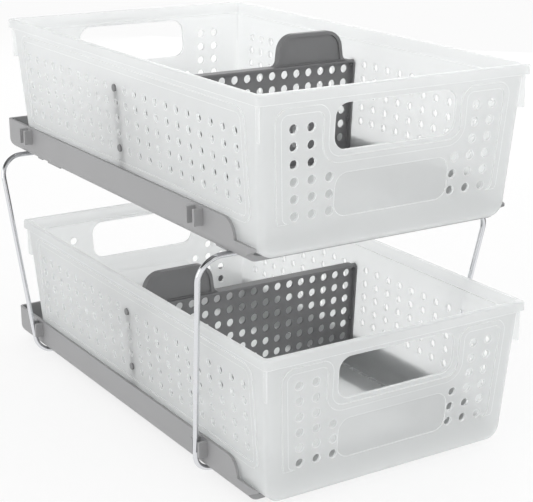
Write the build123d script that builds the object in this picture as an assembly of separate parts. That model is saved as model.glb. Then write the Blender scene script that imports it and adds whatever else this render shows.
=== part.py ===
from build123d import *
import math
import os

# Two-tier pull-out organizer: two wire hoops carry two trays, and a bin with a divider slides on each tray.
# Lengths are in millimetres, +X is right, -Y is the front that is pulled, +Z is up.

# Bin
bin_width = 205.6
bin_length = 370.0
bin_height = 102.5
bin_wall = 2.0
bin_floor = 2.0
rim_band_height = 6.5
rim_corner_radius = 2.5
rim_edge_rounding = 1.2
side_rim_overhang = 1.8
end_rim_overhang = 3.3
side_draft = 6.4
end_draft = 8.6
bin_corner_radius = 4.0
bin_bottom_rounding = 11.0
stacking_ledge_depth = 8.8
stacking_ledge_step = 0.8
stacking_ledge_corner_radius = 2.5

# Corner tabs under the rim
corner_tab_thickness = 2.0
corner_tab_height = 28.5
corner_tab_rim_margin = 2.4
corner_tab_length = 16.0
corner_tab_turn = 62

# Handle cutouts at both ends
handle_side_margin = 57.0
handle_rim_margin = 10.9
handle_height = 29.2
handle_corner_radius = 9.0

# Wall perforations; rows are counted in the height and columns in the length that the margins leave
side_hole_diameter = 5.6
side_hole_pitch = 14.6
side_hole_end_margin = 31.0
side_hole_row_pitch = 10.5
side_hole_rim_margin = 26.0
side_hole_bottom_margin = 34.0
end_hole_diameter = 6.0
end_hole_side_margin = 24.3
end_hole_column_pitch = 12.6
end_hole_column_count = 3
end_hole_row_pitch = 10.9
end_hole_bottom_margin = 24.8
end_hole_rim_margin = 22.0
end_hole_handle_margin = 15.0

# Smooth recessed panel under each handle
panel_side_margin = 2.3
panel_handle_margin = 14.4
panel_bottom = 20.0
panel_corner_radius = 9.0
panel_depth = 0.5

# Raised border bead on the walls, measured to its outer edge
bead_width = 4.2
bead_height = 0.7
bead_corner_radius = 9.0
bead_end_margin = 11.3
bead_handle_side_margin = 4.2
bead_handle_margin = 3.4
bead_rim_margin = 10.1
bead_side_margin = 19.6

# Drain slots in the bin floor
floor_slot_width = 3.2
floor_slot_length = 8.0
floor_slot_pitch = 12.2
floor_slot_end_margin = 56.5
floor_slot_side_margin = 22.8
floor_long_slot_length = 24.0
floor_long_slot_gap = 4.2

# Divider
divider_plate = 1.8
divider_flange_depth = 9.0
divider_flange_thickness = 1.5
divider_side_gap = 0.4
divider_floor_gap = 1.3
divider_rim_margin = 23.5
divider_bottom_corner_radius = 12.0
divider_top_corner_radius = 3.0
divider_hole_diameter = 6.2
divider_hole_pitch = 10.5
divider_hole_side_margin = 8.5
divider_hole_row_pitch = 10.4
divider_hole_top_margin = 6.4
divider_hole_bottom_margin = 9.5
divider_tab_width = 58.0
divider_tab_draft = 3.0
divider_tab_end_margin = 9.8
divider_tab_rim_margin = 0.5
divider_tab_corner_radius = 13.0
divider_tab_foot_radius = 5.0
divider_tab_thickness = 5.0
divider_tab_border = 2.5
divider_tab_recess = 1.2
peg_clearance = 0.5
peg_reach_past_wall = 1.0
peg_root = 3.0

# Tray
tray_wall = 2.0
tray_floor = 3.0
tray_wall_height = 20.8
tray_bottom_rounding = 8.0
tray_inner_rounding = 9.0
tray_back_rounding = 3.5
tray_front_corner_radius = 10.0
tray_front_setback = 15.5
tray_front_slope_run = 13.5
tray_front_edge_height = 5.0
tray_back_reach = 29.3
tray_low_wall_height = 8.3
tray_low_wall_length = 26.8
tray_opening_side_margin = 36.5
tray_opening_corner_radius = 15.0
tray_opening_margin = 44.5
tray_crossbar_width = 24.0
bin_rest_gap = 0.3
bin_side_gap = 0.8

# Wire of the hoops, and its running gap to the trays
wire_diameter = 3.8
wire_gap = 0.2

# Side clips on the tray that hold the hoop legs
clip_past_wire = 0.2
clip_thickness = 2.4
clip_height = 11.0
clip_bottom = 8.5
clip_wire_gap = 0.5

# Lugs under the tray beside the hoop wires, level with the wires' underside
lug_width = 8.0
lug_inset = 6.5
front_block_length = 14.0
front_block_wire_margin = 7.0
rear_block_length = 23.0
rear_block_wire_margin = 5.2
rear_lug_length = 8.0
rear_lug_wire_margin = 5.8

# Wire hoops; the legs stand off the tray's side at the foot and off the bin's rim at the top
hoop_foot_side_gap = 4.2
hoop_top_side_gap = 12.6
hoop_foot_bend = 14.0
hoop_top_bend = 16.0
front_hoop_foot = 90.0
front_hoop_top = 57.7
rear_hoop_foot_margin = 46.6
rear_hoop_top_margin = 21.3

# Tiers
reach_height = 56.4
upper_bin_setback = 6.5

# Cuts run this far past the faces that they open.
overrun = 6.0

tray_length = bin_length + tray_back_reach - tray_front_setback
whole_length = bin_length + tray_back_reach
tier_pitch = bin_height + reach_height
lug_drop = wire_diameter + wire_gap
ground_drop = tray_floor + lug_drop
wire_drop = tray_floor + wire_gap + wire_diameter / 2
rear_hoop_foot = whole_length - rear_hoop_foot_margin
rear_hoop_top = whole_length - rear_hoop_top_margin

handle_width = bin_width - 2 * handle_side_margin
handle_bottom = bin_height - handle_rim_margin - handle_height
side_hole_top_row = bin_height - side_hole_rim_margin
side_hole_rows = 1 + int((side_hole_top_row - side_hole_bottom_margin) / side_hole_row_pitch)
side_hole_columns = 1 + int((bin_length - 2 * side_hole_end_margin) / side_hole_pitch)
side_grid_length = side_hole_pitch * (side_hole_columns - 1)
side_grid_height = side_hole_row_pitch * (side_hole_rows - 1)
peg_diameter = side_hole_diameter - peg_clearance
peg_spot = side_hole_columns // 2 * side_hole_pitch - side_grid_length / 2
divider_top = bin_height - divider_rim_margin


def half_width_at(level):
    """Half the outer width of the bin wall at a height above the bin's underside."""
    return bin_width / 2 - side_rim_overhang - side_draft * (1 - level / bin_height)


def half_length_at(level):
    """Half the outer length of the bin wall at a height above the bin's underside."""
    return bin_length / 2 - end_rim_overhang - end_draft * (1 - level / bin_height)


def drafted_outline(bottom, top, half_at, grow):
    """The wall's drafted outline between two heights, grown outwards by one length."""
    low = half_at(bottom) + grow
    high = half_at(top) + grow
    return Polygon((-low, bottom), (low, bottom), (high, top), (-high, top), align=None)


def lower_corners_rounded(outline, radius):
    """An upright outline with its lowest corners rounded."""
    return fillet(outline.vertices().group_by(Axis.Y)[0], radius)


def drafted_block(bottom, top, grow, corner_radius):
    """Solid between two heights that follows the drafted wall, with rounded upright corners."""
    across = extrude(Plane.XZ * drafted_outline(bottom, top, half_width_at, grow), bin_length, both=True)
    along = extrude(Plane.YZ * drafted_outline(bottom, top, half_length_at, grow), bin_width, both=True)
    block = across & along
    corners = block.edges().filter_by(lambda edge: edge.bounding_box().size.Z > (top - bottom) / 2)
    return fillet(corners, corner_radius)


def edges_under_the_top(face):
    """All edges of an upright face but its highest one."""
    return [edge for group in face.edges().group_by(Axis.Z)[:-1] for edge in group]


def drafted_tub(bottom, top, grow):
    """Solid of the bin's shape: long lower edges with the large rounding, ends with the corner radius."""
    section = drafted_outline(bottom, top, half_width_at, grow)
    section = lower_corners_rounded(section, bin_bottom_rounding + grow)
    across = extrude(Plane.XZ * section, bin_length, both=True)
    along = extrude(Plane.YZ * drafted_outline(bottom, top, half_length_at, grow), bin_width, both=True)
    tub = across & along
    ends = tub.faces().sort_by(Axis.Y)
    return fillet(edges_under_the_top(ends[0]) + edges_under_the_top(ends[-1]), bin_corner_radius + grow)


# Widths that follow the bin's drafted wall, outwards from the tray to the hoops
tray_width = 2 * (half_width_at(tray_wall_height - bin_rest_gap) + bin_side_gap + tray_wall)
hoop_foot_half_width = tray_width / 2 + hoop_foot_side_gap
hoop_top_half_width = bin_width / 2 + hoop_top_side_gap
clip_reach = hoop_foot_side_gap + wire_diameter / 2 + clip_past_wire


def bin_shell():
    """Drafted wall and rim band, still filled."""
    body = drafted_tub(0, bin_height, 0)
    band_face = RectangleRounded(bin_width, bin_length, rim_corner_radius)
    band = Pos(0, 0, bin_height - rim_band_height) * extrude(band_face, rim_band_height)
    band = fillet(band.edges().group_by(Axis.Z)[-1], rim_edge_rounding)
    return body + band + corner_tabs() + wall_beads()


def bin_hollow():
    """Space inside the bin, with the stacking ledge near the top."""
    hollow = drafted_tub(bin_floor, bin_height + overrun, -bin_wall)
    ledge_bottom = bin_height - stacking_ledge_depth
    ledge_grow = stacking_ledge_step - bin_wall
    ledge = drafted_block(ledge_bottom, bin_height + overrun, ledge_grow, stacking_ledge_corner_radius)
    return hollow + ledge


def corner_tabs():
    """Slanted tabs that brace the rim at the four corners of the wall."""
    top = bin_height - rim_band_height / 2
    bottom = bin_height - corner_tab_height
    middle = (top + bottom) / 2
    width = bin_width - 2 * corner_tab_rim_margin
    length = bin_length - 2 * corner_tab_rim_margin
    limit = Pos(0, 0, middle) * Box(width, length, top - bottom)
    slabs = []
    for side in (-1, 1):
        for end in (-1, 1):
            corner = Pos(side * half_width_at(middle), end * half_length_at(middle), middle)
            slab = Box(corner_tab_length, corner_tab_thickness, top - bottom)
            slabs.append(corner * Rot(0, 0, corner_tab_turn * side * end) * slab)
    return limit & Compound(children=slabs)


def end_bead_outline():
    """Outer edge of the end wall's bead: round both hole groups and under the handle."""
    inner = handle_width / 2 + bead_handle_side_margin
    top = bin_height - bead_rim_margin
    bottom = tray_wall_height - bead_width
    corners = [(bead_end_margin - half_width_at(level), level) for level in (bottom, top)]
    corners += [(-inner, top), (-inner, handle_bottom - bead_handle_margin)]
    mirrored = [(-across, level) for across, level in reversed(corners)]
    outline = make_face(Polyline(*corners, *mirrored, close=True))
    return fillet(outline.vertices(), bead_corner_radius)


def side_bead_outline():
    """Outer edge of the side wall's bead: a rounded rectangle round the hole grid."""
    length = bin_length - 2 * bead_side_margin
    height = bin_height - bead_rim_margin - tray_wall_height
    return Pos(0, tray_wall_height + height / 2) * RectangleRounded(length, height, bead_corner_radius)


def ribbon(outline):
    """Flat ring of the bead's width just inside an outline."""
    return outline - offset(outline, -bead_width, kind=Kind.ARC)


def wall_beads():
    """Raised beads above the tray's wall: a thin skin outside the bin, cut to the four walls' ribbons."""
    bottom = tray_wall_height - overrun
    top = bin_height - rim_band_height / 2
    skin = drafted_block(bottom, top, bead_height, bin_corner_radius)
    core = drafted_block(bottom - overrun, top + overrun, -bin_wall / 2, bin_corner_radius)
    foot = Pos(0, tray_wall_height - bead_width) * Rectangle(bin_width, 2 * bead_width)
    end_prism = extrude(Plane.XZ * (ribbon(end_bead_outline()) - foot), bin_length, both=True)
    side_prism = extrude(Plane.YZ * ribbon(side_bead_outline()), bin_width, both=True)
    raised = skin - core
    return (raised & end_prism) + (raised & side_prism)


def side_holes():
    """Round holes through both side walls."""
    drills = []
    for column in range(side_hole_columns):
        along = column * side_hole_pitch - side_grid_length / 2
        for row in range(side_hole_rows):
            level = side_hole_top_row - row * side_hole_row_pitch
            drill = Cylinder(side_hole_diameter / 2, bin_width + 2 * overrun)
            drills.append(Pos(0, along, level) * Rot(0, 90, 0) * drill)
    return drills


def end_holes():
    """Round holes through both end walls, in full columns beside the handle and short ones under its corners."""
    drills = []
    full_height = bin_height - end_hole_rim_margin - end_hole_bottom_margin
    short_height = handle_bottom - end_hole_handle_margin - end_hole_bottom_margin
    bead_side = handle_width / 2 + bead_handle_side_margin
    for column in range(end_hole_column_count):
        inset = end_hole_side_margin + column * end_hole_column_pitch
        beside_handle = half_width_at(handle_bottom) - inset - end_hole_diameter / 2 > bead_side
        height = full_height if beside_handle else short_height
        for row in range(1 + int(height / end_hole_row_pitch)):
            level = end_hole_bottom_margin + row * end_hole_row_pitch
            across = half_width_at(level) - inset
            for side in (-1, 1):
                drill = Cylinder(end_hole_diameter / 2, bin_length + 2 * overrun)
                drills.append(Pos(side * across, 0, level) * Rot(90, 0, 0) * drill)
    return drills


def end_window(width, height, bottom, corner_radius):
    """Upright rounded window that runs through the whole length of the bin."""
    face = Pos(0, bottom + height / 2) * RectangleRounded(width, height, corner_radius)
    return extrude(Plane.XZ * face, bin_length, both=True)


def panel_recess():
    """Shallow recess outside the end walls under each handle."""
    width = handle_width - 2 * panel_side_margin
    height = handle_bottom - panel_handle_margin - panel_bottom
    window = end_window(width, height, panel_bottom, panel_corner_radius)
    core = drafted_block(0, bin_height, -panel_depth, bin_corner_radius)
    return window - core


def floor_slots():
    """Rows of drain slots along both sides of the bin floor."""
    slots = []
    count = 1 + int((bin_length - 2 * floor_slot_end_margin) / floor_slot_pitch)
    row_length = floor_slot_pitch * (count - 1)
    long_slot_spot = row_length / 2 + floor_slot_length / 2 + floor_long_slot_gap + floor_long_slot_length / 2
    for side in (-1, 1):
        across = side * (bin_width / 2 - floor_slot_side_margin)
        for index in range(count):
            along = index * floor_slot_pitch - row_length / 2
            short_slot = Box(floor_slot_width, floor_slot_length, 2 * overrun)
            slots.append(Pos(across, along, 0) * short_slot)
        for end in (-1, 1):
            long_slot = Box(floor_slot_width, floor_long_slot_length, 2 * overrun)
            slots.append(Pos(across, end * long_slot_spot, 0) * long_slot)
    return slots


def make_bin():
    """One bin, centred on its own middle with its underside at height 0."""
    shell = bin_shell() - bin_hollow() - panel_recess()
    handle = end_window(handle_width, handle_height, handle_bottom, handle_corner_radius)
    cutters = side_holes() + end_holes() + floor_slots() + [handle]
    return shell - cutters


def divider_outline():
    """Upright outline of the divider without its tab."""
    low = bin_floor + divider_floor_gap
    side_gap = bin_wall + divider_side_gap
    low_half = half_width_at(low) - side_gap
    top_half = half_width_at(divider_top) - side_gap
    low_edge = [(-low_half, low), (low_half, low)]
    top_edge = [(top_half, divider_top), (-top_half, divider_top)]
    face = make_face(Polyline(*low_edge, *top_edge, close=True))
    face = fillet(face.vertices().group_by(Axis.Y)[0], divider_bottom_corner_radius)
    return fillet(face.vertices().group_by(Axis.Y)[-1], divider_top_corner_radius)


def tab_centre():
    """Distance of the finger tab's middle from the divider's middle."""
    divider_end = half_width_at(divider_top) - bin_wall - divider_side_gap
    return divider_end - divider_tab_end_margin - divider_tab_width / 2


def tab_outline():
    """Finger tab that rises out of the divider's top flange and narrows upwards."""
    foot = divider_top - divider_flange_thickness
    top = bin_height - divider_tab_rim_margin
    foot_half = divider_tab_width / 2
    top_half = foot_half - divider_tab_draft
    foot_edge = [(-foot_half, foot), (foot_half, foot)]
    top_edge = [(top_half, top), (-top_half, top)]
    face = Pos(tab_centre(), 0) * make_face(Polyline(*foot_edge, *top_edge, close=True))
    return fillet(face.vertices().group_by(Axis.Y)[-1], divider_tab_corner_radius)


def is_tab_foot(corner):
    """Whether a corner is one of the two where the tab meets the divider's top edge."""
    half = abs(corner.X - tab_centre())
    near = divider_flange_thickness / 2
    return abs(corner.Y - divider_top) < near and abs(half - divider_tab_width / 2) < near


def finger_tab():
    """Finger tab with a shallow recess on both faces, thinner than the flange that it stands on."""
    outline = divider_outline() + tab_outline()
    outline = fillet(outline.vertices().filter_by(is_tab_foot), divider_tab_foot_radius)
    middle = divider_top - divider_flange_thickness / 2 + bin_height / 2
    above = outline & (Pos(0, middle) * Rectangle(bin_width, bin_height))
    slab = extrude(Plane.XZ * above, divider_tab_thickness / 2, both=True)
    inset = Plane.XZ * offset(tab_outline(), -divider_tab_border, kind=Kind.ARC)
    core = extrude(inset, divider_tab_thickness / 2 - divider_tab_recess, both=True)
    return slab - (extrude(inset, divider_tab_thickness, both=True) - core)


def divider_holes():
    """Round holes in rows that narrow towards the bottom like the bin walls."""
    drills = []
    top_row = divider_top - divider_hole_top_margin
    span = 2 * (half_width_at(top_row) - divider_hole_side_margin)
    columns = 1 + int(span / divider_hole_pitch)
    rows = 1 + int((top_row - divider_hole_bottom_margin) / divider_hole_row_pitch)
    for row in range(rows):
        level = top_row - row * divider_hole_row_pitch
        squeeze = half_width_at(level) / half_width_at(top_row)
        for column in range(columns):
            across = (column - (columns - 1) / 2) * divider_hole_pitch * squeeze
            if row == rows - 1 and column in (0, columns - 1):
                continue
            drill = Cylinder(divider_hole_diameter / 2, 2 * divider_flange_depth)
            drills.append(Pos(across, 0, level) * Rot(90, 0, 0) * drill)
    return drills


def divider_pegs():
    """Pegs on both ends of the divider that snap into the bin's side holes."""
    pegs = []
    for level in (side_hole_top_row - side_grid_height, side_hole_top_row):
        outer = half_width_at(level) + peg_reach_past_wall
        inner = half_width_at(level) - bin_wall - divider_side_gap - peg_root
        for side in (-1, 1):
            peg = Cylinder(peg_diameter / 2, outer - inner)
            pegs.append(Pos(side * (outer + inner) / 2, 0, level) * Rot(0, 90, 0) * peg)
    return pegs


def make_divider():
    """One divider, its plate in the plane y = 0, tab on the +X side."""
    outline = divider_outline()
    inner = offset(outline, -divider_flange_thickness, kind=Kind.ARC)
    flange = extrude(Plane.XZ * (outline - inner), divider_flange_depth / 2, both=True)
    plate = extrude(Plane.XZ * outline, divider_plate / 2, both=True)
    body = plate + flange + finger_tab() + divider_pegs()
    return body - divider_holes()


def channel(half, bottom, top, rounding, start, end_rounding):
    """Long block of the tray's section from one place to the tray's back, its back end rounded."""
    section = Pos(0, (top + bottom) / 2) * Rectangle(2 * half, top - bottom)
    section = lower_corners_rounded(section, rounding)
    length = whole_length - start
    block = Pos(0, start, 0) * extrude(Plane.XZ * section, -length)
    return fillet(edges_under_the_top(block.faces().sort_by(Axis.Y)[-1]), end_rounding)


def tray_block():
    """Outer shape of the tray, its front corners rounded as seen from above."""
    front = tray_front_setback
    block = channel(tray_width / 2, -tray_floor, tray_wall_height, tray_bottom_rounding, front, tray_back_rounding)
    plan = Pos(0, front + tray_length) * Rectangle(tray_width, 2 * tray_length)
    plan = fillet(plan.vertices().group_by(Axis.Y)[0], tray_front_corner_radius)
    return block & extrude(plan, tray_width, both=True)


def tray_hollow():
    """Inside of the tray, open towards the front."""
    half = tray_width / 2 - tray_wall
    start = tray_front_setback - overrun
    top = tray_wall_height + overrun
    hollow = channel(half, 0, top, tray_inner_rounding, start, tray_back_rounding - tray_wall)
    return Pos(0, -tray_wall, 0) * hollow


def tray_front_cut():
    """Everything in front of the tray's leaning front edge and above the low front part of its side walls."""
    front = tray_front_setback
    edge = front + tray_front_slope_run
    edge_top = tray_front_edge_height - tray_floor
    far_front = front - tray_length
    low = tray_low_wall_height
    rise = tray_wall_height - low
    shoulder = front + tray_low_wall_length + rise
    above = tray_wall_height + overrun
    below = -tray_floor - overrun
    notch = Polygon((front, low), (shoulder, low), (shoulder, above), (front, above), align=None)
    notch = notch - Pos(shoulder, low) * Circle(rise)
    leaning = [(front, above), (front, low), (edge, edge_top), (edge, below)]
    ahead = Polygon(*leaning, (far_front, below), (far_front, above), align=None)
    return extrude(Plane.YZ * (notch + ahead), tray_width, both=True)


def tray_openings():
    """Two large openings in the tray floor with a crossbar between them."""
    start = tray_front_setback + tray_opening_margin
    stop = whole_length - tray_opening_margin
    length = (stop - start - tray_crossbar_width) / 2
    cuts = []
    for middle in (start + length / 2, stop - length / 2):
        width = tray_width - 2 * tray_opening_side_margin
        face = RectangleRounded(width, length, tray_opening_corner_radius)
        cuts.append(Pos(0, middle, -tray_floor - overrun) * extrude(face, tray_floor + 2 * overrun))
    return cuts


def leg_spot(foot, top):
    """Distance back at which a hoop leg passes the middle of the side clips."""
    level = clip_bottom + clip_height / 2
    return foot + (top - foot) * (level + wire_drop) / tier_pitch


def tray_clips():
    """Pairs of lugs on both side walls, one pair for each hoop leg."""
    clips = []
    for foot, top in ((front_hoop_foot, front_hoop_top), (rear_hoop_foot, rear_hoop_top)):
        spot = leg_spot(foot, top)
        lean = abs(top - foot) / tier_pitch * clip_height / 2
        shift = wire_diameter / 2 + clip_wire_gap + clip_thickness / 2 + lean
        for side in (-1, 1):
            across = side * (tray_width / 2 + clip_reach / 2 - tray_wall / 2)
            for way in (-1, 1):
                lug = Box(clip_reach + tray_wall, clip_thickness, clip_height)
                clips.append(Pos(across, spot + way * shift, clip_bottom + clip_height / 2) * lug)
    return clips


def tray_lugs():
    """Lugs under the tray that keep the hoop wires from moving along it."""
    front_block = front_hoop_foot - front_block_wire_margin - front_block_length
    rear_block = rear_hoop_foot - rear_block_wire_margin - rear_block_length
    rear_lug = rear_hoop_foot + rear_lug_wire_margin
    spans = [(front_block, front_block_length), (rear_block, rear_block_length), (rear_lug, rear_lug_length)]
    lugs = []
    height = lug_drop + tray_floor / 2
    for start, length in spans:
        for side in (-1, 1):
            across = side * (tray_width / 2 - tray_bottom_rounding / 2 - lug_inset - lug_width / 2)
            lug = Box(lug_width, length, height)
            lugs.append(Pos(across, start + length / 2, -tray_floor - lug_drop + height / 2) * lug)
    return lugs


def make_tray():
    """One tray, its floor's upper face at height 0."""
    body = tray_block() - tray_hollow() - tray_front_cut()
    body = body - tray_openings()
    return body + tray_clips() + tray_lugs()


def make_hoop(foot, top):
    """Closed wire ring that leans from its foot to its top under the upper tray."""
    slant = math.hypot(tier_pitch, top - foot)
    foot_edge = [(-hoop_foot_half_width, 0), (hoop_foot_half_width, 0)]
    top_edge = [(hoop_top_half_width, slant), (-hoop_top_half_width, slant)]
    face = make_face(Polyline(*foot_edge, *top_edge, close=True))
    face = fillet(face.vertices().group_by(Axis.Y)[0], hoop_foot_bend)
    face = fillet(face.vertices().group_by(Axis.Y)[-1], hoop_top_bend)
    lean = math.degrees(math.atan2(tier_pitch, top - foot))
    path = Pos(0, foot, -wire_drop) * Rot(lean, 0, 0) * face.face().outer_wire()
    start = path.edges()[0]
    section = Plane(start @ 0, z_dir=start % 0) * Circle(wire_diameter / 2)
    return sweep(section, path=path)


def place(shape, back, level):
    """Moves a shape from the tray frame to the frame centred under the whole organizer."""
    return Pos(0, back - whole_length / 2, level + ground_drop) * shape


def write(shape, name):
    """Writes one node to its STEP file."""
    shape.label = name
    export_step(shape, "parts/" + name + ".step")


os.makedirs("parts", exist_ok=True)

tray = make_tray()
write(place(tray, 0, 0), "lower_tray")
write(place(tray, 0, tier_pitch), "upper_tray")

write(place(make_hoop(front_hoop_foot, front_hoop_top), 0, 0), "front_hoop")
write(place(make_hoop(rear_hoop_foot, rear_hoop_top), 0, 0), "rear_hoop")

organizer_bin = make_bin()
bin_middle = bin_length / 2
write(place(organizer_bin, bin_middle, bin_rest_gap), "lower_bin")
write(place(organizer_bin, bin_middle + upper_bin_setback, tier_pitch + bin_rest_gap), "upper_bin")

divider = make_divider()
turned_divider = Rot(0, 0, 180) * divider
write(place(turned_divider, bin_middle + peg_spot, bin_rest_gap), "lower_divider")
write(place(divider, bin_middle + upper_bin_setback + peg_spot, tier_pitch + bin_rest_gap), "upper_divider")
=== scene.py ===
import math

import bpy
import numpy as np
from mathutils import Matrix, Vector


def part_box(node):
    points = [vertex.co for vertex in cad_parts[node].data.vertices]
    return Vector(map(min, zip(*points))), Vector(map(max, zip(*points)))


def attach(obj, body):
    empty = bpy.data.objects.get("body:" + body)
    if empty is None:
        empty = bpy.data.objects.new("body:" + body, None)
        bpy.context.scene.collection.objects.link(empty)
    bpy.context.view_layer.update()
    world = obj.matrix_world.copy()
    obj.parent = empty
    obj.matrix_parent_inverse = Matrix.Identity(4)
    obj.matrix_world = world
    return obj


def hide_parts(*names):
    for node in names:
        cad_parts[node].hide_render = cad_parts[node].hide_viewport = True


bl_info = {
    "name": "Under Sink Organizer Looks",
    "version": (1, 0, 0),
    "blender": (4, 5, 0),
    "location": "View3D > Sidebar > Organizer",
    "description": "Frosted bins, grey trays and dividers, chromed hoops and a pale stage for the organizer",
    "category": "Object",
}

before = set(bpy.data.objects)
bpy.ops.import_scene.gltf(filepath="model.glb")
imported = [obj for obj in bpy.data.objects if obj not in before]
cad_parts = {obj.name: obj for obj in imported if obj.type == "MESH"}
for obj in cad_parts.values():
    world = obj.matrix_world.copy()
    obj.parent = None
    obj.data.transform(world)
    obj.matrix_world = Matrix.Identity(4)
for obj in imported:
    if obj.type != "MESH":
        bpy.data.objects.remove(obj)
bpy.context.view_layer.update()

MM = 0.001
polypropylene_ior = 1.49

# Frosted bins
cloud_size = 60 * MM
haze_below = 0.05
haze_above = 0.07
edge_rounding = 0.8 * MM
edge_samples = 4
edge_flatness = 0.85
wall_flatness = 0.98
panel_fade = 0.6 * MM
end_wall_depth = 18 * MM
end_wall_fade = 1 * MM
panel_loses_milk = 0.2
panel_loses_haze = 0.35
panel_loses_glow = 0.08

# Grey trays and dividers
tray_grain = 0.9 * MM
tray_roughness = 0.48
divider_grain = 0.7 * MM
divider_roughness = 0.42
grain_depth = 0.05 * MM
grain_strength = 0.25
flow_mark_size = 45 * MM
flow_mark_shade = 0.06
sheen_below = 0.05
sheen_above = 0.06

# Chromed hoops
draw_line_length = 30
draw_line_spacing = 0.3
draw_line_depth = 0.02 * MM
draw_line_strength = 0.1
chrome_roughness_low = 0.06
chrome_roughness_high = 0.16
points_per_bend = 14
points_round_wire = 24
longest_face = 12 * MM

# Floor and room: the dark ceiling and the dark right side are seen by mirrors alone
floor_reach = 9.0
floor_drop = 0.2 * MM
floor_roughness = 0.9
floor_glow = 0.8
fibre_size = 1.5 * MM
fibre_depth = 0.1 * MM
fibre_strength = 0.05
horizon_ambient = 1.2
zenith_ambient = 0.65
ambient_heights = (0.1, 0.9)
ceiling_heights = (0.25, 0.5)
ceiling_darkness = 0.93
right_of_viewer = (0.83, -0.56, 0)
right_start = 0.35
right_end = 0.55
right_darkness = 0.9

# Soft lamps: place, point that the lamp faces, and side of its square
lamps = {
    "key": ((-0.3, -0.3, 1.4), (0, 0, 0.1), 1.2),
    "side": ((-1.3, 0.1, 0.3), (0, 0, 0.12), 0.9),
    "front": ((0.4, -1.5, 0.42), (0, 0, 0.12), 1.2),
    "back": ((1.2, 1.1, 0.35), (0, 0, 0.12), 1.4),
}

# Camera: turned right, tipped down and rolled by these degrees
camera_place = (-0.51323, -0.86985, 0.4206)
camera_yaw = 33.977
camera_pitch = 17.860
camera_roll = 0.404
camera_shift_x = -0.1068
camera_shift_y = 0.0360
camera_sensor = 36.0


def hex_colour(code):
    """sRGB hex such as "#ababab" to linear red, green and blue."""
    channels = [int(code[i : i + 2], 16) / 255 for i in (1, 3, 5)]
    return tuple(c / 12.92 if c <= 0.04045 else ((c + 0.055) / 1.055) ** 2.4 for c in channels)


def colour_property(name, description, code):
    """A colour that the sidebar shows, with a hex default."""
    return bpy.props.FloatVectorProperty(
        name=name, description=description, default=hex_colour(code), size=3, subtype="COLOR", min=0, max=1
    )


def length_property(name, description, millimetres):
    """A length in metres with its default given in millimetres."""
    return bpy.props.FloatProperty(
        name=name, description=description, default=millimetres * MM, unit="LENGTH", precision=5, min=0
    )


def share_property(name, description, share):
    """A share from 0 to 1."""
    return bpy.props.FloatProperty(
        name=name, description=description, default=share, min=0, max=1, subtype="FACTOR"
    )


def power_property(name, description, watts):
    """Power of a lamp."""
    return bpy.props.FloatProperty(name=name, description=description, default=watts, min=0, unit="POWER")


class BinSettings(bpy.types.PropertyGroup):
    """Finish of the two bins."""

    plastic: colour_property("Plastic", "Milky white of the bins' plastic", "#fdfefe")
    milkiness: share_property("Milkiness", "Share of light that doesn't go straight through the wall", 0.35)
    glow: share_property("Glow", "Share of light that scatters through the wall to its far side", 0.5)
    haze: share_property("Haze", "How far the frosted skin blurs what is behind it", 0.2)
    panel_width: length_property("Panel width", "Width of the smooth panel under each handle", 87.0)
    panel_bottom: length_property("Panel bottom", "Height of its lower edge above the bin's bottom", 20.0)
    panel_top: length_property("Panel top", "Height of its upper edge above the bin's bottom", 48.0)
    panel_radius: length_property("Panel radius", "Corner radius of the panel", 9.0)


class GreySettings(bpy.types.PropertyGroup):
    """Finish of the trays and dividers."""

    tray: colour_property("Tray", "Mid grey of the trays", "#9c9c9d")
    divider: colour_property("Divider", "Darker grey of the dividers", "#757576")


class HoopSettings(bpy.types.PropertyGroup):
    """Size and finish of the two wire hoops."""

    wire: length_property("Wire", "Diameter of the wire", 3.8)
    foot_half_width: length_property("Foot half width", "Half the foot's width between wire centres", 102.88)
    top_half_width: length_property("Top half width", "Half the top's width between wire centres", 115.4)
    foot_bend: length_property("Foot bend", "Radius of the wire's centre line in the two lower bends", 14.0)
    top_bend: length_property("Top bend", "Radius of the wire's centre line in the two upper bends", 16.0)
    chrome: colour_property("Chrome", "Bright metal of the plated wire", "#e2e3e6")


class StageSettings(bpy.types.PropertyGroup):
    """Light, floor and camera."""

    floor: colour_property("Floor", "Pale floor and background", "#fafafa")
    key: power_property("Key lamp", "Power of the large soft lamp overhead", 0.8)
    side: power_property("Side lamp", "Power of the soft lamp on the left", 2.0)
    front: power_property("Front lamp", "Power of the soft lamp in front", 3.5)
    back: power_property("Back lamp", "Power of the soft lamp behind", 6.5)
    ambient: bpy.props.FloatProperty(
        name="Ambient", description="Strength of the even light from all round", default=1.1, min=0
    )
    lens: bpy.props.FloatProperty(
        name="Lens", description="Focal length of the camera", default=95.77, min=1, unit="CAMERA"
    )


def add_node(tree, kind, inputs=None, **properties):
    """Adds one shader node with its properties, and sets or links its inputs by socket name or number."""
    node = tree.nodes.new(kind)
    for key, value in properties.items():
        setattr(node, key, value)
    for key, value in (inputs or {}).items():
        if isinstance(value, bpy.types.NodeSocket):
            tree.links.new(value, node.inputs[key])
        else:
            node.inputs[key].default_value = value
    return node


def new_material(name):
    """An empty node material and its node tree."""
    material = bpy.data.materials.new(name)
    material.use_nodes = True
    material.node_tree.nodes.clear()
    return material, material.node_tree


def dress(node_name, material):
    """Gives a carried-over CAD node one material over all its faces."""
    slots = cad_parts[node_name].data.materials
    slots.clear()
    slots.append(material)


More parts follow.
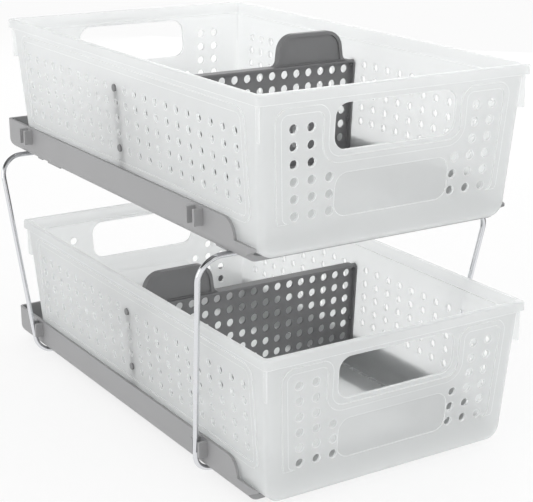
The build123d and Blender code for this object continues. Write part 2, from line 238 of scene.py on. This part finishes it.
def panel_mask(tree, settings, low, high):
    """Socket that is 1 on the smooth panel of both end walls of a bin with the given box, and 0 elsewhere.

    The panel is a rounded rectangle: a place is on it where |x| and |z - middle|, less the lengths of the
    straight edges and not under 0, make a vector shorter than the corner radius.
    """
    middle = (0, (low.y + high.y) / 2, low.z + (settings.panel_bottom + settings.panel_top) / 2)
    straight_across = settings.panel_width / 2 - settings.panel_radius
    straight_up = (settings.panel_top - settings.panel_bottom) / 2 - settings.panel_radius
    place = add_node(tree, "ShaderNodeTexCoord").outputs["Object"]
    centred = add_node(tree, "ShaderNodeVectorMath", {0: place, 1: middle}, operation="SUBTRACT").outputs[0]
    folded = add_node(tree, "ShaderNodeVectorMath", {0: centred}, operation="ABSOLUTE").outputs[0]
    past = folded
    for operation, other in (
        ("SUBTRACT", (straight_across, 0, straight_up)),
        ("MAXIMUM", (0, 0, 0)),
        ("MULTIPLY", (1, 0, 1)),
    ):
        past = add_node(tree, "ShaderNodeVectorMath", {0: past, 1: other}, operation=operation).outputs[0]
    inside = add_node(
        tree,
        "ShaderNodeMapRange",
        {
            "Value": add_node(tree, "ShaderNodeVectorMath", {0: past}, operation="LENGTH").outputs["Value"],
            "From Min": settings.panel_radius - panel_fade,
            "From Max": settings.panel_radius,
            "To Min": 1.0,
            "To Max": 0.0,
        },
        interpolation_type="SMOOTHSTEP",
    )
    end_wall = (high.y - low.y) / 2 - end_wall_depth
    at_end = add_node(
        tree,
        "ShaderNodeMapRange",
        {
            "Value": add_node(tree, "ShaderNodeSeparateXYZ", {0: folded}).outputs["Y"],
            "From Min": end_wall - end_wall_fade,
            "From Max": end_wall,
        },
        interpolation_type="SMOOTHSTEP",
    )
    both = {0: inside.outputs["Result"], 1: at_end.outputs["Result"]}
    return add_node(tree, "ShaderNodeMath", both, operation="MULTIPLY").outputs[0]


def lose_share(tree, value, mask, share):
    """A socket or number that loses a share of itself where the mask is 1."""
    loss = {"Value": mask, "To Min": 1.0, "To Max": 1 - share}
    kept = add_node(tree, "ShaderNodeMapRange", loss, interpolation_type="SMOOTHSTEP").outputs["Result"]
    return add_node(tree, "ShaderNodeMath", {0: value, 1: kept}, operation="MULTIPLY").outputs[0]


def frosted_polypropylene(settings, node_name):
    """Natural polypropylene, injection moulded in a spark-eroded tool: milky, and more hazy than clear."""
    material, tree = new_material("frosted_polypropylene_" + node_name)
    # The panel under each handle is polished in the tool, so it is clearer than the eroded wall round it.
    panel = panel_mask(tree, settings, *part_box(node_name))
    # The flow of the melt clouds the wall in wide patches, some of them a little more hazy.
    place = add_node(tree, "ShaderNodeTexCoord").outputs["Object"]
    cloud = add_node(tree, "ShaderNodeTexNoise", {"Vector": place, "Scale": 1 / cloud_size, "Detail": 3.0})
    haze = add_node(
        tree,
        "ShaderNodeMapRange",
        {
            "Value": cloud.outputs["Fac"],
            "To Min": settings.haze - haze_below,
            "To Max": settings.haze + haze_above,
        },
    ).outputs["Result"]
    # Edges of holes, beads and the rim are made fully milky, a painted highlight that whitens them: there a
    # rounded normal leaves the face's own normal.
    rounded = add_node(tree, "ShaderNodeBevel", {"Radius": edge_rounding}, samples=edge_samples)
    facing = add_node(tree, "ShaderNodeNewGeometry")
    normals = {0: rounded.outputs["Normal"], 1: facing.outputs["Normal"]}
    flatness = add_node(tree, "ShaderNodeVectorMath", normals, operation="DOT_PRODUCT")
    milk_and_painted_edge_highlight = add_node(
        tree,
        "ShaderNodeMapRange",
        {
            "Value": flatness.outputs["Value"],
            "From Min": edge_flatness,
            "From Max": wall_flatness,
            "To Min": 1.0,
            "To Max": settings.milkiness,
        },
        interpolation_type="SMOOTHSTEP",
    ).outputs["Result"]
    # The milkiness here carries the painted edge highlight as well as the wall's own milkiness.
    opaque = lose_share(tree, milk_and_painted_edge_highlight, panel, panel_loses_milk)
    clear = add_node(tree, "ShaderNodeMath", {0: 1.0, 1: opaque}, operation="SUBTRACT").outputs[0]
    skin = add_node(
        tree,
        "ShaderNodeBsdfPrincipled",
        {
            "Base Color": (*settings.plastic, 1),
            "IOR": polypropylene_ior,
            "Transmission Weight": clear,
            "Roughness": lose_share(tree, haze, panel, panel_loses_haze),
        },
    )
    # Light that scatters inside the wall leaves on its far side, so the wall glows with what is behind it.
    glow = add_node(tree, "ShaderNodeBsdfTranslucent", {"Color": (*settings.plastic, 1)})
    through = lose_share(tree, settings.glow, panel, panel_loses_glow)
    halves = {0: through, 1: skin.outputs["BSDF"], 2: glow.outputs["BSDF"]}
    surface = add_node(tree, "ShaderNodeMixShader", halves)
    add_node(tree, "ShaderNodeOutputMaterial", {"Surface": surface.outputs["Shader"]})
    return material


def grained_polypropylene(name, colour, grain_size, roughness):
    """Filled polypropylene, injection moulded in a grained tool: solid grey with a soft satin sheen."""
    material, tree = new_material(name)
    place = add_node(tree, "ShaderNodeTexCoord").outputs["Object"]
    grain = add_node(tree, "ShaderNodeTexNoise", {"Vector": place, "Scale": 1 / grain_size, "Detail": 3.0})
    relief = add_node(
        tree,
        "ShaderNodeBump",
        {"Height": grain.outputs["Fac"], "Strength": grain_strength, "Distance": grain_depth},
    )
    # Wide flow marks shift the grey and the sheen a little.
    marks = {"Vector": place, "Scale": 1 / flow_mark_size, "Detail": 3.0}
    flow = add_node(tree, "ShaderNodeTexNoise", marks).outputs["Fac"]
    deep = tuple(c * (1 - flow_mark_shade) for c in colour)
    pale = tuple(min(1, c * (1 + flow_mark_shade)) for c in colour)
    # A Mix node's two colours are its sockets 6 and 7, and its mixed colour is output 2.
    greys = {0: flow, 6: (*deep, 1), 7: (*pale, 1)}
    tint = add_node(tree, "ShaderNodeMix", greys, data_type="RGBA").outputs[2]
    sheen = {"Value": flow, "To Min": roughness - sheen_below, "To Max": roughness + sheen_above}
    shader = add_node(
        tree,
        "ShaderNodeBsdfPrincipled",
        {
            "Base Color": tint,
            "IOR": polypropylene_ior,
            "Roughness": add_node(tree, "ShaderNodeMapRange", sheen).outputs["Result"],
            "Normal": relief.outputs["Normal"],
        },
    )
    add_node(tree, "ShaderNodeOutputMaterial", {"Surface": shader.outputs["BSDF"]})
    return material


def chromed_wire(settings):
    """Drawn steel wire, bent and then bright chrome plated: a mirror with faint draw lines along it."""
    material, tree = new_material("chrome_plated_drawn_wire")
    # The UV map is in millimetres along the wire and round it, so the draw lines keep their real size.
    along = add_node(tree, "ShaderNodeUVMap", uv_map="wire").outputs["UV"]
    stretch = {"Vector": along, "Scale": (1 / draw_line_length, 1 / draw_line_spacing, 1)}
    line_place = add_node(tree, "ShaderNodeMapping", stretch).outputs["Vector"]
    drawn = {"Vector": line_place, "Scale": 1.0, "Detail": 2.0}
    lines = add_node(tree, "ShaderNodeTexNoise", drawn).outputs["Fac"]
    polish = {"Value": lines, "To Min": chrome_roughness_low, "To Max": chrome_roughness_high}
    relief = {"Height": lines, "Strength": draw_line_strength, "Distance": draw_line_depth}
    shader = add_node(
        tree,
        "ShaderNodeBsdfPrincipled",
        {
            "Base Color": (*settings.chrome, 1),
            "Metallic": 1.0,
            "Roughness": add_node(tree, "ShaderNodeMapRange", polish).outputs["Result"],
            "Normal": add_node(tree, "ShaderNodeBump", relief).outputs["Normal"],
        },
    )
    add_node(tree, "ShaderNodeOutputMaterial", {"Surface": shader.outputs["BSDF"]})
    return material


class ORGANIZER_OT_bins(bpy.types.Operator):
    """Dress both bins in frosted plastic."""

    bl_idname = "organizer.bins"
    bl_label = "Frosted Bins"

    def execute(self, context):
        for name in ("lower_bin", "upper_bin"):
            dress(name, frosted_polypropylene(context.scene.organizer_bins, name))
        return {"FINISHED"}


class ORGANIZER_OT_trays(bpy.types.Operator):
    """Dress both trays in grey moulded plastic."""

    bl_idname = "organizer.trays"
    bl_label = "Grey Trays"

    def execute(self, context):
        colour = context.scene.organizer_greys.tray
        name = "grey_polypropylene_grained"
        material = grained_polypropylene(name, colour, tray_grain, tray_roughness)
        for name in ("lower_tray", "upper_tray"):
            dress(name, material)
        return {"FINISHED"}


class ORGANIZER_OT_dividers(bpy.types.Operator):
    """Dress both dividers in darker grey moulded plastic."""

    bl_idname = "organizer.dividers"
    bl_label = "Dark Dividers"

    def execute(self, context):
        colour = context.scene.organizer_greys.divider
        name = "dark_grey_polypropylene_satin"
        material = grained_polypropylene(name, colour, divider_grain, divider_roughness)
        for name in ("lower_divider", "upper_divider"):
            dress(name, material)
        return {"FINISHED"}


def rounded_loop(half_foot, half_top, rise, foot_bend, top_bend):
    """Closed centre line of a hoop in its own plane.

    Each corner is replaced by an arc of its bend radius: the arc's centre lies on the corner's bisector at
    radius / sin(half the corner angle), and its points turn from one side's normal to the other's.
    """
    corners = np.array([(-half_foot, 0), (half_foot, 0), (half_top, rise), (-half_top, rise)], float)
    bends = np.array([foot_bend, foot_bend, top_bend, top_bend])
    to_last = np.roll(corners, 1, axis=0) - corners
    to_next = np.roll(corners, -1, axis=0) - corners
    to_last /= np.linalg.norm(to_last, axis=1, keepdims=True)
    to_next /= np.linalg.norm(to_next, axis=1, keepdims=True)
    bisector = to_last + to_next
    bisector /= np.linalg.norm(bisector, axis=1, keepdims=True)
    half_angle = np.arccos((to_last * to_next).sum(1)) / 2
    centres = corners + bisector * (bends / np.sin(half_angle))[:, None]
    sweep = np.pi - 2 * half_angle
    outward = np.arctan2(-bisector[:, 1], -bisector[:, 0])
    angles = outward[:, None] + sweep[:, None] * np.linspace(-0.5, 0.5, points_per_bend)
    arc = centres[:, None] + bends[:, None, None] * np.stack((np.cos(angles), np.sin(angles)), -1)
    return arc.reshape(-1, 2)


def hoop_mesh(name, settings, foot, top):
    """Wire swept along the hoop: ring of points = centre line + radius * (cos v * side + sin v * normal).

    foot and top are the centre line's points (y, z) at the hoop's lowest and highest run, side is square to
    the wire in the hoop's plane, and normal is square to that plane.
    """
    lean = np.array([0.0, top[0] - foot[0], top[1] - foot[1]])
    rise = np.linalg.norm(lean)
    lean /= rise
    flat = rounded_loop(
        settings.foot_half_width, settings.top_half_width, rise, settings.foot_bend, settings.top_bend
    )
    across = np.array([1.0, 0, 0])
    centre = flat[:, :1] * across + flat[:, 1:] * lean + np.array([0, foot[0], foot[1]])
    # A straight run gets rings of its own, so that no face is too long.
    following = np.roll(centre, -1, axis=0)
    pieces = np.maximum(1, np.ceil(np.linalg.norm(following - centre, axis=1) / longest_face)).astype(int)
    which = np.repeat(np.arange(len(centre)), pieces)
    step = np.concatenate([np.arange(n) / n for n in pieces])
    centre = centre[which] + (following - centre)[which] * step[:, None]
    tangent = np.roll(centre, -1, axis=0) - np.roll(centre, 1, axis=0)
    tangent /= np.linalg.norm(tangent, axis=1, keepdims=True)
    normal = np.cross(across, lean)
    side = np.cross(tangent, normal)
    turn = np.linspace(0, 2 * np.pi, points_round_wire, endpoint=False)
    spokes = np.cos(turn)[None, :, None] * side[:, None] + np.sin(turn)[None, :, None] * normal
    points = centre[:, None] + settings.wire / 2 * spokes
    run = np.cumsum(np.linalg.norm(np.roll(centre, -1, axis=0) - centre, axis=1))
    along = np.concatenate(([0], run)) / MM
    around = np.linspace(0, np.pi * settings.wire / MM, points_round_wire + 1)
    return grid_object(name, points, along, around)


def grid_object(name, points, along, around):
    """Mesh object of a grid of points closed both ways, with along and around (mm) as its UV map "wire"."""
    rows, columns = points.shape[:2]
    index = np.arange(rows * columns).reshape(rows, columns)
    ahead = np.roll(index, -1, axis=0)
    quads = np.stack((index, np.roll(index, -1, axis=1), np.roll(ahead, -1, axis=1), ahead), -1)
    faces = quads.reshape(-1, 4)
    mesh = bpy.data.meshes.new(name)
    mesh.vertices.add(rows * columns)
    mesh.vertices.foreach_set("co", points.reshape(-1))
    mesh.loops.add(faces.size)
    mesh.loops.foreach_set("vertex_index", faces.reshape(-1))
    mesh.polygons.add(len(faces))
    mesh.polygons.foreach_set("loop_start", np.arange(len(faces)) * 4)
    mesh.update(calc_edges=True)
    mesh.polygons.foreach_set("use_smooth", np.ones(len(faces), bool))
    u = np.stack((along[:-1], along[:-1], along[1:], along[1:]), -1)[:, None].repeat(columns, axis=1)
    v = np.stack((around[:-1], around[1:], around[1:], around[:-1]), -1)[None].repeat(rows, axis=0)
    layer = mesh.uv_layers.new(name="wire")
    layer.data.foreach_set("uv", np.stack((u, v), -1).reshape(-1))
    mesh.validate()
    piece = bpy.data.objects.new(name, mesh)
    bpy.context.scene.collection.objects.link(piece)
    return piece


class ORGANIZER_OT_hoops(bpy.types.Operator):
    """Sweep the smooth chromed wire of both hoops along the hoops of the frame."""

    bl_idname = "organizer.hoops"
    bl_label = "Chromed Hoops"

    def execute(self, context):
        settings = context.scene.organizer_hoops
        material = chromed_wire(settings)
        half = settings.wire / 2
        for node, leans_forward in (("front_hoop", True), ("rear_hoop", False)):
            low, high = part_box(node)
            foot = high.y - half if leans_forward else low.y + half
            top = low.y + half if leans_forward else high.y - half
            piece = hoop_mesh(node + "_wire", settings, (foot, low.z + half), (top, high.z - half))
            piece.data.materials.append(material)
            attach(piece, "stand")
            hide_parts(node)
        return {"FINISHED"}


def direct_view(tree):
    """Socket that is 1 for the camera and what mirrors and clear plastic see, and 0 for diffuse light."""
    path = add_node(tree, "ShaderNodeLightPath").outputs
    seen = path["Is Camera Ray"]
    for ray in ("Is Glossy Ray", "Is Transmission Ray"):
        seen = add_node(tree, "ShaderNodeMath", {0: seen, 1: path[ray]}, operation="MAXIMUM").outputs[0]
    return seen


def dark_right(tree, place):
    """Socket for how dark mirrored rays find the room on the viewer's right, from a place or direction."""
    both = {0: place, 1: right_of_viewer}
    rightward = add_node(tree, "ShaderNodeVectorMath", both, operation="DOT_PRODUCT")
    darkness = {
        "Value": rightward.outputs["Value"],
        "From Min": right_start,
        "From Max": right_end,
        "To Max": right_darkness,
    }
    return add_node(tree, "ShaderNodeMapRange", darkness, interpolation_type="SMOOTHSTEP").outputs["Result"]


def mirrored_only(tree, value):
    """A socket's value for rays off a mirror, and 0 for all others."""
    glossy = add_node(tree, "ShaderNodeLightPath").outputs["Is Glossy Ray"]
    return add_node(tree, "ShaderNodeMath", {0: value, 1: glossy}, operation="MULTIPLY").outputs[0]


def pale_paper(colour):
    """Uncoated white paper, rolled smooth: matt, and near white to the camera wherever no shadow falls."""
    material, tree = new_material("pale_paper_floor")
    place = add_node(tree, "ShaderNodeTexCoord").outputs["Object"]
    # Fibre, drawn coarse enough to show, keeps the floor from being dead flat.
    fibre = add_node(tree, "ShaderNodeTexNoise", {"Vector": place, "Scale": 1 / fibre_size, "Detail": 2.0})
    relief = {"Height": fibre.outputs["Fac"], "Strength": fibre_strength, "Distance": fibre_depth}
    paper = add_node(
        tree,
        "ShaderNodeBsdfPrincipled",
        {
            "Base Color": (*colour, 1),
            "Roughness": floor_roughness,
            "Normal": add_node(tree, "ShaderNodeBump", relief).outputs["Normal"],
        },
    )
    glow = add_node(tree, "ShaderNodeEmission", {"Color": (1, 1, 1, 1), "Strength": 1.0})
    lift = {"Value": direct_view(tree), "To Max": floor_glow}
    share = add_node(tree, "ShaderNodeMapRange", lift).outputs["Result"]
    white = {0: share, 1: paper.outputs["BSDF"], 2: glow.outputs["Emission"]}
    lit = add_node(tree, "ShaderNodeMixShader", white).outputs["Shader"]
    black = add_node(tree, "ShaderNodeEmission", {"Strength": 0.0}).outputs["Emission"]
    dark = mirrored_only(tree, dark_right(tree, place))
    surface = add_node(tree, "ShaderNodeMixShader", {0: dark, 1: lit, 2: black})
    add_node(tree, "ShaderNodeOutputMaterial", {"Surface": surface.outputs["Shader"]})
    return material


def white_room(ambient):
    """World that is white to the camera, mirrors and clear plastic, and an even light for all else."""
    world = bpy.data.worlds.new("white_room")
    world.use_nodes = True
    tree = world.node_tree
    tree.nodes.clear()
    direction = add_node(tree, "ShaderNodeTexCoord").outputs["Generated"]
    height = add_node(tree, "ShaderNodeSeparateXYZ", {0: direction}).outputs["Z"]
    # The walls of the room are lighter than its ceiling, as between large soft boxes.
    even = add_node(
        tree,
        "ShaderNodeMapRange",
        {
            "Value": height,
            "From Min": ambient_heights[0],
            "From Max": ambient_heights[1],
            "To Min": ambient * horizon_ambient,
            "To Max": ambient * zenith_ambient,
        },
        interpolation_type="SMOOTHSTEP",
    ).outputs["Result"]
    seen = {"Value": direct_view(tree), "To Min": even, "To Max": 1.0}
    strength = add_node(tree, "ShaderNodeMapRange", seen).outputs["Result"]
    # Mirrors see a dark ceiling and a dark right side, so the chrome has black lines beside white ones.
    ceiling = add_node(
        tree,
        "ShaderNodeMapRange",
        {
            "Value": height,
            "From Min": ceiling_heights[0],
            "From Max": ceiling_heights[1],
            "To Max": ceiling_darkness,
        },
        interpolation_type="SMOOTHSTEP",
    ).outputs["Result"]
    darker = {0: ceiling, 1: dark_right(tree, direction)}
    dark = mirrored_only(tree, add_node(tree, "ShaderNodeMath", darker, operation="MAXIMUM").outputs[0])
    bright = add_node(tree, "ShaderNodeMath", {0: 1.0, 1: dark}, operation="SUBTRACT").outputs[0]
    lit = add_node(tree, "ShaderNodeMath", {0: strength, 1: bright}, operation="MULTIPLY").outputs[0]
    background = add_node(tree, "ShaderNodeBackground", {"Color": (1, 1, 1, 1), "Strength": lit})
    add_node(tree, "ShaderNodeOutputWorld", {"Surface": background.outputs["Background"]})
    return world


def soft_lamp(name, place, aim, size, power):
    """Square area lamp that faces a point."""
    data = bpy.data.lights.new(name, "AREA")
    data.shape = "SQUARE"
    data.size = size
    data.energy = power
    lamp = bpy.data.objects.new(name, data)
    bpy.context.scene.collection.objects.link(lamp)
    lamp.location = place
    lamp.rotation_euler = (Vector(aim) - Vector(place)).to_track_quat("-Z", "Y").to_euler()


class ORGANIZER_OT_stage(bpy.types.Operator):
    """Make the pale floor, the soft studio light and the camera."""

    bl_idname = "organizer.stage"
    bl_label = "Stage"

    def execute(self, context):
        settings = context.scene.organizer_stage
        self.make_floor(settings)
        context.scene.world = white_room(settings.ambient)
        for name, (place, aim, size) in lamps.items():
            soft_lamp(name + "_lamp", place, aim, size, getattr(settings, name))
        self.make_camera(context.scene, settings)
        context.scene.view_settings.view_transform = "Standard"
        return {"FINISHED"}

    def make_floor(self, settings):
        """Square floor just under the organizer, near white to the camera with a soft shadow."""
        mesh = bpy.data.meshes.new("floor")
        square = ((-1, -1), (1, -1), (1, 1), (-1, 1))
        corners = [(x * floor_reach, y * floor_reach, -floor_drop) for x, y in square]
        mesh.from_pydata(corners, [], [(0, 1, 2, 3)])
        mesh.materials.append(pale_paper(settings.floor))
        floor = bpy.data.objects.new("floor", mesh)
        bpy.context.scene.collection.objects.link(floor)

    def make_camera(self, scene, settings):
        """Camera at the photograph's place, whose axes are worked out from its yaw, pitch and roll."""
        data = bpy.data.cameras.new("camera")
        data.sensor_width = camera_sensor
        data.lens = settings.lens
        data.shift_x = camera_shift_x
        data.shift_y = camera_shift_y
        camera = bpy.data.objects.new("camera", data)
        scene.collection.objects.link(camera)
        yaw, pitch, roll = (math.radians(a) for a in (camera_yaw, camera_pitch, camera_roll))
        heading = np.array([math.sin(yaw), math.cos(yaw), 0])
        forward = heading * math.cos(pitch) - np.array([0, 0, math.sin(pitch)])
        level = np.array([math.cos(yaw), -math.sin(yaw), 0])
        upright = np.cross(level, forward)
        right = math.cos(roll) * level + math.sin(roll) * upright
        up = math.cos(roll) * upright - math.sin(roll) * level
        matrix = np.identity(4)
        matrix[:3] = np.stack((right, up, -forward, camera_place), -1)
        camera.matrix_world = Matrix(matrix.tolist())
        scene.camera = camera


class ORGANIZER_PT_panel(bpy.types.Panel):
    """Sidebar panel with the settings and steps."""

    bl_idname = "ORGANIZER_PT_panel"
    bl_label = "Organizer"
    bl_space_type = "VIEW_3D"
    bl_region_type = "UI"
    bl_category = "Organizer"

    def draw(self, context):
        for name, group, steps in sections:
            box = self.layout.box()
            for key in group.__annotations__:
                box.prop(getattr(context.scene, name), key)
            for step in steps:
                box.operator(step.bl_idname)


sections = (
    ("organizer_bins", BinSettings, (ORGANIZER_OT_bins,)),
    ("organizer_greys", GreySettings, (ORGANIZER_OT_trays, ORGANIZER_OT_dividers)),
    ("organizer_hoops", HoopSettings, (ORGANIZER_OT_hoops,)),
    ("organizer_stage", StageSettings, (ORGANIZER_OT_stage,)),
)


def register():
    for name, group, steps in sections:
        bpy.utils.register_class(group)
        setattr(bpy.types.Scene, name, bpy.props.PointerProperty(type=group))
        for step in steps:
            bpy.utils.register_class(step)
    bpy.utils.register_class(ORGANIZER_PT_panel)


def unregister():
    bpy.utils.unregister_class(ORGANIZER_PT_panel)
    for name, group, steps in reversed(sections):
        for step in steps:
            bpy.utils.unregister_class(step)
        delattr(bpy.types.Scene, name)
        bpy.utils.unregister_class(group)


def main():
    register()
    bpy.ops.organizer.bins()
    bpy.ops.organizer.trays()
    bpy.ops.organizer.dividers()
    bpy.ops.organizer.hoops()
    bpy.ops.organizer.stage()


if __name__ == "__main__":
    main()
